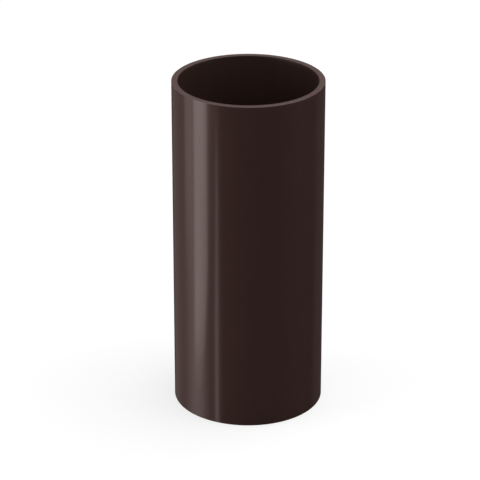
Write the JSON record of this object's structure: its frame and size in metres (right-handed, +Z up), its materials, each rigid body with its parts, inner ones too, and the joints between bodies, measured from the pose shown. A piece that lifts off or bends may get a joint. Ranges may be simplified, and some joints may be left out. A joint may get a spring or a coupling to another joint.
{
  "type": "downpipe",
  "caption": "Short straight length of round plastic downpipe with plain square-cut ends, which carries rainwater down from a gutter.",
  "frame": {"origin": "centre of the lower end, on the surface that the pipe stands on", "axes": "+Z up along the pipe's axis; X and Y are equivalent, because the pipe is round"},
  "size_m": [0.08, 0.08, 0.1815],
  "materials": {
    "brown_pvc": "smooth extruded rigid plastic, chocolate brown right through, semi-gloss"
  },
  "bodies": {
    "root": {"downpipe": "brown_pvc"}
  },
  "joints": []
}
